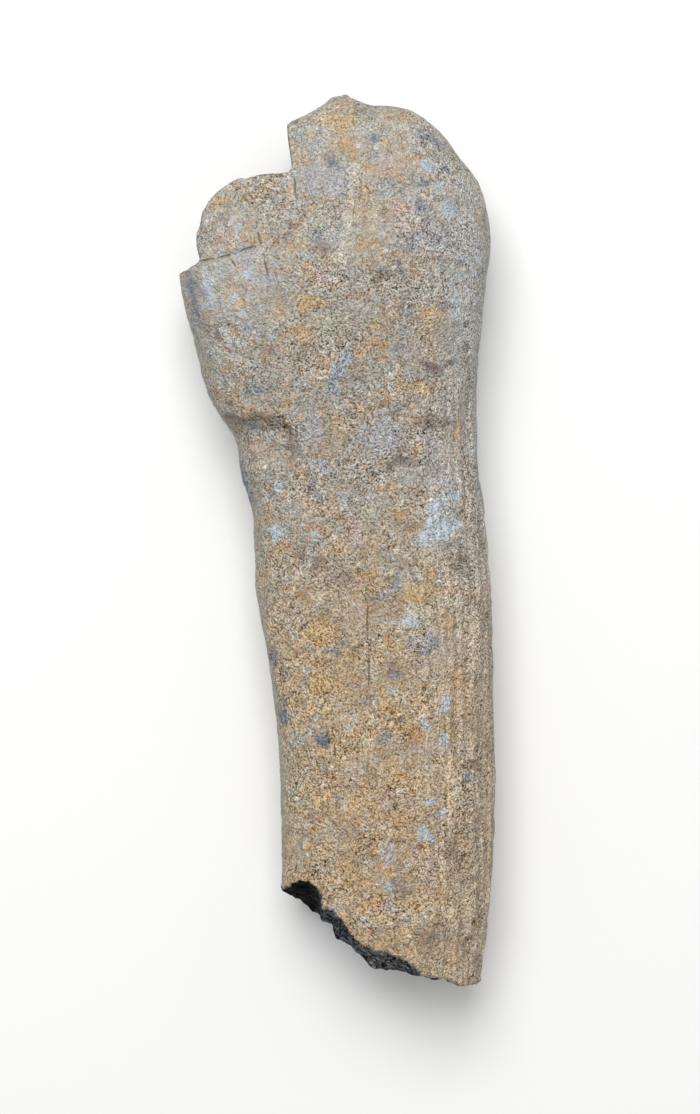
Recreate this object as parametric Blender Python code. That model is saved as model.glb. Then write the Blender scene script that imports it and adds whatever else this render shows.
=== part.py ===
"""A fossil limb bone of a large reptile: the flared head and most of the shaft, lying on its side.

The bone lies along Y with its head towards +Y, it rests on the plane Z = 0, and the origin is in the middle
of its footprint. The head's upper left edge has broken away in three steps. The shaft is snapped off
slantwise, and the break shows the thick wall of the bone round an open marrow hollow.
"""

from typing import NamedTuple

import bmesh
import bpy
import numpy as np
from mathutils import Matrix, Vector, noise

# Driving dimension: every table below is in units of a 300th of the bone's length, which is 1 mm here
LENGTH = 0.3
UNIT = LENGTH / 300

# How finely the solid is faceted: finer over the top, where its relief shows
RING_STEP = 4.4
UPPER_STEPS = 15
LOWER_STEPS = 9
BREAK_STEP = 3.8
BREAK_ROWS = 14

# Where a cross-section is widest, as a share of its height, and how square its corners are: 2 is an ellipse
WIDEST_SHARE = 0.46
SQUARE_UPPER_LEFT = 3.3
SQUARE_UPPER_RIGHT = 2.5
SQUARE_LOWER = 2.5

# Relief of the weathered surface: how high each kind is and how far apart its lumps are
BROAD_HEIGHT, BROAD_SIZE = 0.9, 22
LUMP_HEIGHT, LUMP_SIZE = 0.6, 9
FURROW_HEIGHT, FURROW_WIDTH, FURROW_LENGTH = 1.6, 7, 90
FURROWS_START, FURROWS_FULL = 50, 20

# Roughness of the broken faces
BREAK_HEIGHT, BREAK_SIZE = 0.8, 8
MARROW_HEIGHT, MARROW_SIZE = 2.2, 8


class Section(NamedTuple):
    """One cross-section: its place along the bone, its two side edges, its upper and its lower face."""

    along: float
    left: float
    right: float
    top: float
    bottom: float


# From the knob at the tip of the head, over the flared head and its waist, to past the snapped end.
# The left edge is the one that the head had before it chipped.
SECTIONS = (
    Section(150.4, 0.6, 3.0, 32, 21),
    Section(149.5, -1.4, 3.9, 36, 17),
    Section(148.3, -3.2, 6.0, 39.5, 13.5),
    Section(146.9, -4.6, 8.0, 42, 11),
    Section(145.6, -5.8, 17.0, 44, 9),
    Section(144.3, -7.2, 24.6, 46, 7.5),
    Section(141.8, -11.8, 30.2, 48.4, 5.8),
    Section(138.4, -20.5, 34.4, 50.4, 4.4),
    Section(133, -31.0, 39.2, 52.6, 3.2),
    Section(125, -39.5, 45.0, 55, 1.6),
    Section(113, -47.0, 50.0, 57.5, 0.2),
    Section(98, -51.4, 51.8, 58.6, -0.8),
    Section(86, -53.0, 49.5, 58.4, -1.0),
    Section(70, -49.2, 47.9, 57, -0.6),
    Section(53.5, -44.4, 46.8, 54.6, 0.4),
    Section(44, -40.3, 46.8, 53, 1.0),
    Section(36.5, -34.7, 46.7, 51.8, 1.5),
    Section(30, -33.2, 46.8, 51, 1.9),
    Section(24, -33.9, 47.8, 50.4, 2.1),
    Section(16, -31.3, 49.2, 49.8, 2.3),
    Section(6, -28.9, 50.0, 49.4, 2.4),
    Section(-18, -27.5, 51.2, 49, 2.2),
    Section(-45, -22.9, 51.8, 49.4, 1.2),
    Section(-70, -20.0, 52.5, 49.8, 0.2),
    Section(-95, -19.2, 52.5, 50, -0.7),
    Section(-120, -19.2, 51.2, 50, -1.1),
    Section(-140, -19.0, 48.2, 49.6, -0.6),
    Section(-162, -18.8, 46.6, 49, 0.2),
)


class Spot(NamedTuple):
    """A swelling, or a hollow if its height is below 0: its middle, its half sizes and its turn in degrees."""

    middle: tuple
    half_size: tuple
    turn: float
    height: float


SPOTS = (
    Spot((-23, 33, 50), (8.5, 4.6, 12), -8, -4.6),  # the hollow under the head's flare
    Spot((-31, 35.5, 46), (6, 4, 14), -25, -3.2),  # where it runs out over the left side
    Spot((-16.5, 30, 50), (4, 5, 10), 10, -1.2),  # its end, which turns down the shaft
    Spot((-36, 47, 48), (10, 4.5, 12), -38, 1.4),  # the swollen border of the flare
    Spot((-20, 42, 51), (9, 3.2, 12), -6, 0.9),  # the rim above the hollow
    Spot((-27, 25, 49), (5, 5.5, 8), 0, 1.7),  # the low knob below the hollow
    Spot((-32, 17, 38), (5, 9, 9), 0, -2.4),  # the pinched side below the knob
    Spot((-26, 14, 48), (2.6, 10, 6), -4, 0.9),  # the crest above the pinched side
    Spot((1, 108, 58), (3.4, 20, 15), 8, 1.0),  # the faint ridge down the head
    Spot((-14, 112, 57), (7, 13, 15), 0, -1.2),  # the shallow trough to its left
    Spot((30, 96, 58), (16, 26, 15), 10, 0.8),  # the swelling of the right side of the head
    Spot((34, 52, 54), (8, 14, 12), 0, -1.0),  # the waist between head and shaft
    Spot((12, 4, 49), (9, 30, 10), 4, -0.8),  # a long dip in the shaft
    Spot((39, 22, 46), (2.8, 32, 6), 1, 0.9),  # the edge where the upper face turns into the right side
    Spot((44, 20, 42), (2.8, 30, 6), 1, -1.0),  # the groove along it
    Spot((8, -72, 50), (14, 24, 12), -6, 0.6),  # the swelling of the lower shaft
    Spot((-10, 20, 2), (5, 46, 8), -6, 1.8),  # the muscle scar along the underside
    Spot((8, 12, 2), (8, 40, 8), -4, -1.4),  # the hollow beside it
)


class HeadBreakPoint(NamedTuple):
    """A point of the head's broken edge: at the upper face, and at the foot of the broken wall."""

    x: float
    y: float
    foot_x: float
    foot_y: float


HEAD_BREAK_HEIGHTS = (8, 48)
HEAD_BREAK = (
    HeadBreakPoint(-16.8, 160, -14.8, 160),
    HeadBreakPoint(-16.7, 137, -14.6, 137),
    HeadBreakPoint(-15.9, 128, -13.6, 128),
    HeadBreakPoint(-15.0, 121.2, -12.8, 120.2),
    HeadBreakPoint(-24.9, 120.0, -22.8, 118.5),
    HeadBreakPoint(-33.6, 118.8, -31.4, 117.0),
    HeadBreakPoint(-40.4, 115, -38.0, 113.5),
    HeadBreakPoint(-44.6, 109, -42.4, 108),
    HeadBreakPoint(-46.2, 102.5, -44.2, 102.5),
    HeadBreakPoint(-46.4, 96.5, -44.8, 97.5),
    HeadBreakPoint(-45.0, 91.6, -43.8, 94.4),
    HeadBreakPoint(-48.8, 90.6, -48.8, 93.8),
    HeadBreakPoint(-51.6, 89.0, -53, 92.6),
    HeadBreakPoint(-60, 85.6, -62, 88),
)


class ShaftBreakPoint(NamedTuple):
    """A point of the snapped end: where its face lies along the bone, at four heights from the upper face down."""

    x: float
    outer: float
    upper_wall: float
    lower_wall: float
    underside: float


# The notch at the left, where the upper wall is missing, then the slope to the tip at the right
SHAFT_BREAK_HEIGHTS = (1, 10, 39, 50)
SHAFT_BREAK = (
    ShaftBreakPoint(-30, -112.8, -114.0, -117.0, -115.0),
    ShaftBreakPoint(-18.4, -113.2, -115.0, -118.4, -116.0),
    ShaftBreakPoint(-15.1, -111.6, -113.6, -120.8, -117.6),
    ShaftBreakPoint(-11.9, -110.6, -112.4, -123.0, -120.0),
    ShaftBreakPoint(-8.9, -111.1, -112.8, -124.8, -121.4),
    ShaftBreakPoint(-6.9, -112.4, -114.2, -127.2, -123.0),
    ShaftBreakPoint(-5.8, -114.6, -117.0, -129.0, -124.4),
    ShaftBreakPoint(-5.2, -118.6, -124.8, -129.4, -125.4),
    ShaftBreakPoint(-1.8, -119.0, -125.6, -129.8, -127.0),
    ShaftBreakPoint(-0.8, -120.5, -130.6, -130.2, -127.8),
    ShaftBreakPoint(1.0, -122.4, -132.2, -132.2, -129.0),
    ShaftBreakPoint(3.6, -127.0, -133.2, -134.6, -130.4),
    ShaftBreakPoint(7.6, -130.2, -136.6, -137.6, -133.6),
    ShaftBreakPoint(12.0, -132.2, -140.8, -140.4, -136.6),
    ShaftBreakPoint(15.2, -132.5, -141.4, -141.4, -138.0),
    ShaftBreakPoint(20.2, -135.0, -142.2, -142.6, -139.4),
    ShaftBreakPoint(24.4, -137.8, -142.4, -142.8, -140.6),
    ShaftBreakPoint(27.5, -141.2, -142.9, -143.2, -141.6),
    ShaftBreakPoint(36.0, -143.2, -144.2, -144.4, -142.4),
    ShaftBreakPoint(43.0, -146.2, -147.0, -146.6, -144.6),
    ShaftBreakPoint(46.0, -146.0, -146.8, -147.0, -145.0),
    ShaftBreakPoint(60, -149.0, -151.0, -151.0, -148.0),
)

# Faces that meet at more than this many degrees keep a crisp edge; the rest is shaded smooth
CRISP_ANGLE = 40

# The marrow hollow: its middle on the break, its half sizes across, along and up, and its turn about Z, in
# degrees, which follows the slant of the break
MARROW_MIDDLE = (13.5, -134.0, 24.5)
MARROW_HALF_SIZE = (25.0, 17.0, 13.5)
MARROW_TURN = -24


def smooth_curve(points, spacing):
    """Rows of numbers on a smooth curve through the given rows, whose first numbers are spacing apart or less."""
    points = np.array(points, float)
    padded = np.vstack([2 * points[0] - points[1], points, 2 * points[-1] - points[-2]])
    rows = []
    for before, start, end, after in zip(padded, padded[1:], padded[2:], padded[3:]):
        steps = max(1, round(abs(end[0] - start[0]) / spacing))
        for t in np.arange(steps) / steps:
            rows.append(
                start
                + 0.5 * t * (end - before)
                + t * t * (before - 2.5 * start + 2 * end - 0.5 * after)
                + t * t * t * (-0.5 * before + 1.5 * start - 1.5 * end + 0.5 * after)
            )
    return np.vstack([rows, points[-1]])


def quarter(across, up, square, steps):
    """Evenly spaced points of a quarter of a rounded box, from its side (across, 0) to its top (0, up)."""
    angle = np.linspace(0, np.pi / 2, 120)
    x = across * np.cos(angle) ** (2 / square)
    z = up * np.sin(angle) ** (2 / square)
    run = np.concatenate([[0], np.cumsum(np.hypot(np.diff(x), np.diff(z)))])
    even = np.linspace(0, run[-1], steps + 1)[:-1]
    return np.interp(even, run, x), np.interp(even, run, z)


def ring(section):
    """The points of one cross-section, once round from the right edge over the top."""
    along, left, right, top, bottom = section
    middle = (left + right) / 2
    half = (right - left) / 2
    widest = bottom + WIDEST_SHARE * (top - bottom)
    x_1, z_1 = quarter(half, top - widest, SQUARE_UPPER_RIGHT, UPPER_STEPS)
    z_2, x_2 = quarter(top - widest, half, SQUARE_UPPER_LEFT, UPPER_STEPS)
    x_3, z_3 = quarter(half, widest - bottom, SQUARE_LOWER, LOWER_STEPS)
    z_4, x_4 = quarter(widest - bottom, half, SQUARE_LOWER, LOWER_STEPS)
    x = middle + np.concatenate([x_1, -x_2, -x_3, x_4])
    z = widest + np.concatenate([z_1, z_2, -z_3, -z_4])
    return [Vector((a, along, b)) for a, b in zip(x, z)]


def spot_height(spot, place):
    """How far a spot lifts the surface at a place: most in its middle, fading out round it."""
    offset = Matrix.Rotation(np.radians(-spot.turn), 3, "Z") @ (place - Vector(spot.middle))
    distance = sum((part / half) ** 2 for part, half in zip(offset, spot.half_size))
    return spot.height * np.exp(-distance)


def relief(place, facing):
    """How far the weathered surface stands out from the even one."""
    broad = BROAD_HEIGHT * noise.noise(place / BROAD_SIZE)
    lumps = LUMP_HEIGHT * noise.noise(place / LUMP_SIZE + Vector((7, 0, 0)))
    # Long shallow furrows run down the shaft's right side, where the bone's fibres weather out.
    along_shaft = np.clip((FURROWS_START - place.y) / (FURROWS_START - FURROWS_FULL), 0, 1)
    stretched = Vector((place.x / FURROW_WIDTH, place.y / FURROW_LENGTH, place.z / FURROW_WIDTH))
    furrows = FURROW_HEIGHT * noise.noise(stretched) * np.clip(facing.x, 0, 1) * along_shaft
    return float(broad + lumps + furrows + sum(spot_height(spot, place) for spot in SPOTS))


def lofted_bone():
    """The whole bone before it broke, as a closed mesh that is flat where it rests."""
    mesh = bmesh.new()
    rings = [[mesh.verts.new(point) for point in ring(s)] for s in smooth_curve(SECTIONS, RING_STEP)]
    for near, far in zip(rings, rings[1:]):
        for i in range(len(near)):
            mesh.faces.new((near[i - 1], near[i], far[i], far[i - 1]))
    mesh.faces.new(rings[0])
    mesh.faces.new(reversed(rings[-1]))
    bmesh.ops.recalc_face_normals(mesh, faces=mesh.faces)
    mesh.normal_update()
    moves = [relief(v.co, v.normal) * v.normal for v in mesh.verts]
    for vertex, move in zip(mesh.verts, moves):
        vertex.co += move
    everything = mesh.verts[:] + mesh.edges[:] + mesh.faces[:]
    bmesh.ops.bisect_plane(
        mesh, geom=everything, dist=0.01, plane_co=(0, 0, 0), plane_no=(0, 0, -1), clear_outer=True
    )
    bmesh.ops.holes_fill(mesh, edges=[e for e in mesh.edges if e.is_boundary])
    bmesh.ops.triangulate(mesh, faces=mesh.faces)
    return mesh


def rough(point):
    """A small move, each way, of a point of a broken face."""
    near = point / BREAK_SIZE
    return BREAK_HEIGHT * Vector(noise.noise(near + Vector((0, 0, shift))) for shift in (0, 40, 80))


def break_cutter(columns, heights, push):
    """A solid whose near side is a rough break and whose far side is pushed clear of the bone.

    Each column holds a point of the break at each of the heights. Between the heights, and above and
    below them, the break runs straight on.
    """
    columns = np.array(columns, float)
    runs = np.hypot(*np.diff(columns[:, -1], axis=0).T)
    steps = np.maximum(1, np.round(runs / BREAK_STEP)).astype(int)
    share = np.concatenate([i + np.arange(n) / n for i, n in enumerate(steps)] + [[len(runs)]])
    past_edges = 12
    mesh = bmesh.new()
    rows = []
    for z in np.linspace(heights[0] - past_edges, heights[-1] + past_edges, BREAK_ROWS):
        outline = np.array([[np.interp(z, heights, column[:, axis]) for axis in (0, 1)] for column in columns])
        x, y = (np.interp(share, range(len(columns)), outline[:, axis]) for axis in (0, 1))
        points = [Vector((a, b, z)) for a, b in zip(x, y)]
        rows.append([mesh.verts.new(point + rough(point)) for point in points])
    for low, high in zip(rows, rows[1:]):
        for i in range(1, len(low)):
            mesh.faces.new((low[i - 1], low[i], high[i], high[i - 1]))
    extruded = bmesh.ops.extrude_face_region(mesh, geom=mesh.faces[:])
    far = [v for v in extruded["geom"] if isinstance(v, bmesh.types.BMVert)]
    bmesh.ops.translate(mesh, verts=far, vec=push)
    bmesh.ops.recalc_face_normals(mesh, faces=mesh.faces)
    return mesh


def head_break():
    columns = [((p.foot_x, p.foot_y), (p.x, p.y)) for p in HEAD_BREAK]
    return break_cutter(columns, HEAD_BREAK_HEIGHTS, Vector((-60, 60, 0)))


def shaft_break():
    columns = [[(p.x, y) for y in (p.underside, p.lower_wall, p.upper_wall, p.outer)] for p in SHAFT_BREAK]
    return break_cutter(columns, SHAFT_BREAK_HEIGHTS, Vector((0, -60, 0)))


def marrow_hollow():
    """A rough egg-shaped hollow that the break opens."""
    mesh = bmesh.new()
    bmesh.ops.create_icosphere(mesh, subdivisions=4, radius=1)
    placed = Matrix.Translation(MARROW_MIDDLE) @ Matrix.Rotation(np.radians(MARROW_TURN), 4, "Z")
    sized = Matrix.Diagonal((*MARROW_HALF_SIZE, 1))
    bmesh.ops.transform(mesh, verts=mesh.verts, matrix=placed @ sized)
    mesh.normal_update()
    for vertex in mesh.verts:
        vertex.co += MARROW_HEIGHT * noise.noise(vertex.co / MARROW_SIZE) * vertex.normal
    return mesh


def stone(name, colour, roughness):
    material = bpy.data.materials.new(name)
    material.use_nodes = True
    shader = material.node_tree.nodes["Principled BSDF"]
    shader.inputs["Base Color"].default_value = colour
    shader.inputs["Roughness"].default_value = roughness
    shader.inputs["Metallic"].default_value = 0
    return material


def solid(name, mesh, collection, material):
    """Turns a finished bmesh, whose unit is UNIT, into an object of the collection."""
    bmesh.ops.scale(mesh, verts=mesh.verts, vec=(UNIT, UNIT, UNIT))
    data = bpy.data.meshes.new(name)
    mesh.to_mesh(data)
    mesh.free()
    data.shade_smooth()
    data.set_sharp_from_angle(angle=np.radians(CRISP_ANGLE))
    data.materials.append(material)
    made = bpy.data.objects.new(name, data)
    collection.objects.link(made)
    return made


def cut(body, cutter):
    """Takes the cutter out of the body. The cut faces take the cutter's material."""
    cutter.hide_render = True
    cutter.display_type = "WIRE"
    boolean = body.modifiers.new(cutter.name, "BOOLEAN")
    boolean.operation = "DIFFERENCE"
    boolean.object = cutter
    boolean.material_mode = "TRANSFER"


def new_collection(name):
    made = bpy.data.collections.new(name)
    bpy.context.scene.collection.children.link(made)
    return made


def centre_on_origin(footprint, body):
    """Moves the guide that carries everything, so that the body's footprint is centred on the origin."""
    bpy.context.view_layer.update()
    evaluated = body.evaluated_get(bpy.context.evaluated_depsgraph_get())
    corners = np.array([evaluated.matrix_world @ Vector(c) for c in evaluated.bound_box])
    middle = (corners.min(axis=0) + corners.max(axis=0)) / 2
    footprint.location = (-middle[0], -middle[1], 0)


def main():
    for old in list(bpy.data.objects):
        bpy.data.objects.remove(old, do_unlink=True)
    parts = new_collection("fossil_limb_bone")
    cutters = new_collection("cutters")
    surface = stone("weathered_fossil_bone", (0.39, 0.30, 0.19, 1), 0.9)
    inside = stone("dark_broken_bone", (0.03, 0.03, 0.033, 1), 0.75)

    footprint = bpy.data.objects.new("footprint", None)
    parts.objects.link(footprint)
    bone = solid("limb_bone", lofted_bone(), parts, surface)
    bone.parent = footprint
    for name, mesh in (
        ("head_break", head_break()),
        ("shaft_break", shaft_break()),
        ("marrow_hollow", marrow_hollow()),
    ):
        cutter = solid(name, mesh, cutters, inside)
        cutter.parent = footprint
        cut(bone, cutter)
    centre_on_origin(footprint, bone)


main()
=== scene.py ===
"""The looks of a fossil limb bone: its weathered crust, its stains and cracks, and its dark snapped end.

The bone lies along Y with its head towards +Y. The bone's own lengths are millimetres until its mesh is
finished. The floor, the lamps and the camera are in metres.
"""

from typing import NamedTuple

import bmesh
import bpy
import numpy as np
from mathutils import Matrix, Vector, noise
from mathutils.bvhtree import BVHTree
from mathutils.kdtree import KDTree


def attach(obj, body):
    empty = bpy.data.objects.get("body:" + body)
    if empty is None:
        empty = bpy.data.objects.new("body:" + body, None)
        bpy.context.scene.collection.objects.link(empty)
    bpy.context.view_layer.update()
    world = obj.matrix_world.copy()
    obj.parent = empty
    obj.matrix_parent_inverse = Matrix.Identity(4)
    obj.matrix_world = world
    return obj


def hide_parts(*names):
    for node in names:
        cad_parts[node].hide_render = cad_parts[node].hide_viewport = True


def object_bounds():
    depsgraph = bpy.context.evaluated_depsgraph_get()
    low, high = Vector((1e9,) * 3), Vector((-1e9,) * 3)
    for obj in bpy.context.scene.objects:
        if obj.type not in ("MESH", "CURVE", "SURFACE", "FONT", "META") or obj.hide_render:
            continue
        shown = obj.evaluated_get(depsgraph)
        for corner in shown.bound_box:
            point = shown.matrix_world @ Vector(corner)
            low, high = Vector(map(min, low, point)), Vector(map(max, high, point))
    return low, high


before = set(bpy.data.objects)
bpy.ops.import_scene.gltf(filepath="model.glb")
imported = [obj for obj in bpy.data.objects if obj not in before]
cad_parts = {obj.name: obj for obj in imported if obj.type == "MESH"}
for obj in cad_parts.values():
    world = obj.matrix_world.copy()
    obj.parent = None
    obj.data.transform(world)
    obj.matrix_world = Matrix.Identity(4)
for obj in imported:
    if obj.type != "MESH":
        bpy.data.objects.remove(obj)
cad_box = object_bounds()

MM = 0.001

# The mesh of the crust: an even grid, which is halved on the upper side and on the snapped end
GRID = 1.62
UPPER_NORMAL = 0.2

# The CAD bone's edges that turn by more than SHARP_ANGLE, in radians, are crisp. The grid's points within
# SNAP of one go onto it, and those farther off than SOFT_FROM are smoothed until no facets show.
SHARP_ANGLE, SHARP_STEP = 0.62, 0.2
SNAP, SOFT_FROM = 0.34, 1.7
SMOOTH_ROUNDS, SMOOTH_FACTOR = 26, 0.5

# Points no higher than this belong to the flats that the bone rests on, and stay there
FLOOR_TOUCH = 0.05

# The skin stays this far inside the CAD bone's box
BOX_MARGIN = 0.01

# The crust: how high each kind of relief is and how far apart its lumps are. The fibres show from
# FIBRES_FROM to the right and from FIBRES_START towards the snapped end.
LUMP_HEIGHT, LUMP_SIZE = 0.42, 8.5
KNOB_HEIGHT, KNOB_SIZE = 0.26, 4.2
GRAIN_HEIGHT, GRAIN_SIZE, GRAIN_MIDDLE = 0.3, 2.3, 0.45
GRIT_HEIGHT, GRIT_SIZE = 0.16, 1.5
PIT_DEPTH, PIT_SIZE, PIT_FROM, PIT_FULL = 0.9, 4.6, 0.34, 0.62
FIBRE_HEIGHT, FIBRE_WIDTH, FIBRE_LENGTH, FIBRE_MIDDLE = 0.75, 2.3, 42, 0.15
FIBRES_FROM, FIBRES_FULL, FIBRES_START, FIBRES_FADE = 24, 44, 58, 8

# Relief this high gets the full painted light of a raised top, and relief this deep the full painted shade of
# a hollow
RELIEF_SHADE_FULL = 1.2

# The broken faces: sharp steps where layers of the bone's wall have parted, which die out towards their
# edges. Each relief is the height of its steps and the height of its chips.
END_RELIEF = (1.1, 0.7)
WALL_RELIEF = (2.2, 0.9)
STEP_SIZE, STEP_LEVELS, STEP_RISER = 5.5, 3, (0.3, 0.7)
CHIP_SIZE = 1.9
EDGE_CALM, END_EDGE_SHARE, WALL_EDGE_SHARE = 3, 0.5, 0.15

# Turns the patterns off the mesh's own directions, so that no lines show along its rows
PATTERN_TURN = Matrix.Rotation(0.7, 3, (0.5, 0.3, 0.8))

# Shifts that keep one pattern from following another
KNOB_SHIFT, GRIT_SHIFT, PIT_SHIFT = Vector((9, 0, 0)), Vector((0, 5, 0)), Vector((0, 0, 31))
STEP_SHIFT, CHIP_SHIFT = Vector((0, 17, 0)), Vector((4, 0, 0))
WANDER_SHIFT, FRAY_SHIFT = 50, 70

# The head is smoother than the shaft
CALM_SHARE, CALM_FROM, CALM_FULL = 0.45, 70, 100

# Painted shade, which greys the sides more than the top: how far a place has turned from facing up
SIDE_SHADE_FROM, SIDE_SHADE_FULL = 0.35, 1.0

# Where the breaks are
SHAFT_BREAK_FROM = -107
STEPS_LEFT, STEPS_RIGHT = -13, 25
MARROW_LOW, MARROW_HIGH = (-10, -150, 8), (40, -109, 42)
HEAD_BREAK_FROM, HEAD_BREAK_RIGHT = 87, -13
PLATE_END = 92

# Which way broken faces look: a steep one has a normal with little Z
STEEP = 0.5
END_LOOKS = -0.35
WALL_LOOKS_ALONG, WALL_LOOKS_LEFT = 0.3, -0.5

# At the right of the snapped end, the crust laps this far over the edge of the break
LAP_FROM, LAP = 27, 1.8


class Mark(NamedTuple):
    """A patch of the upper side: its middle, its half sizes, its turn in degrees and how strong it is."""

    x: float
    y: float
    across: float
    along: float
    turn: float
    strength: float


# Where the surface is worn smooth: the middle of the head, and the plate and the block at its left
WORN = (
    Mark(5.3, 123, 19, 19, 0, 0.6),
    Mark(7, 101, 12, 10, 0, 0.5),
    Mark(-33.6, 83, 15, 11, 15, 1.8),
    Mark(-36, 103, 8, 8, 0, 0.5),
)

# How deep a patch reaches, how fast it fades out from its middle, and how far its outline strays
MARK_DEPTH, MARK_FADE = 15, 0.75
MARK_WANDER, MARK_WANDER_SIZE = 2.4, 6
MARK_FRAY, MARK_FRAY_SIZE = 1.1, 2.4

# A patch's middle is looked up from this height, and where no bone is under it, it lies at the other one
LOOK_FROM, NO_BONE = 100, 30

# The stains' colours, some of which also paint shade, in the order in which they lie over each other
TONES = {
    "sage": "#a5a693",
    "pink": "#b9a39b",
    "lilac": "#a8a6ae",
    "cream": "#c4bda9",
    "ochre": "#bf9f6e",
    "rust": "#b78f66",
    "umber": "#7a6c62",
    "slate": "#7f858e",
    "ink": "#66717f",
    "steel": "#8d9dac",
    "plum": "#7b6568",
    "pale_blue": "#b4bfc7",
}
STAIN_AND_SHADE_SHARE, PALE_BLUE_SHARE = 0.62, 0.85
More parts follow.
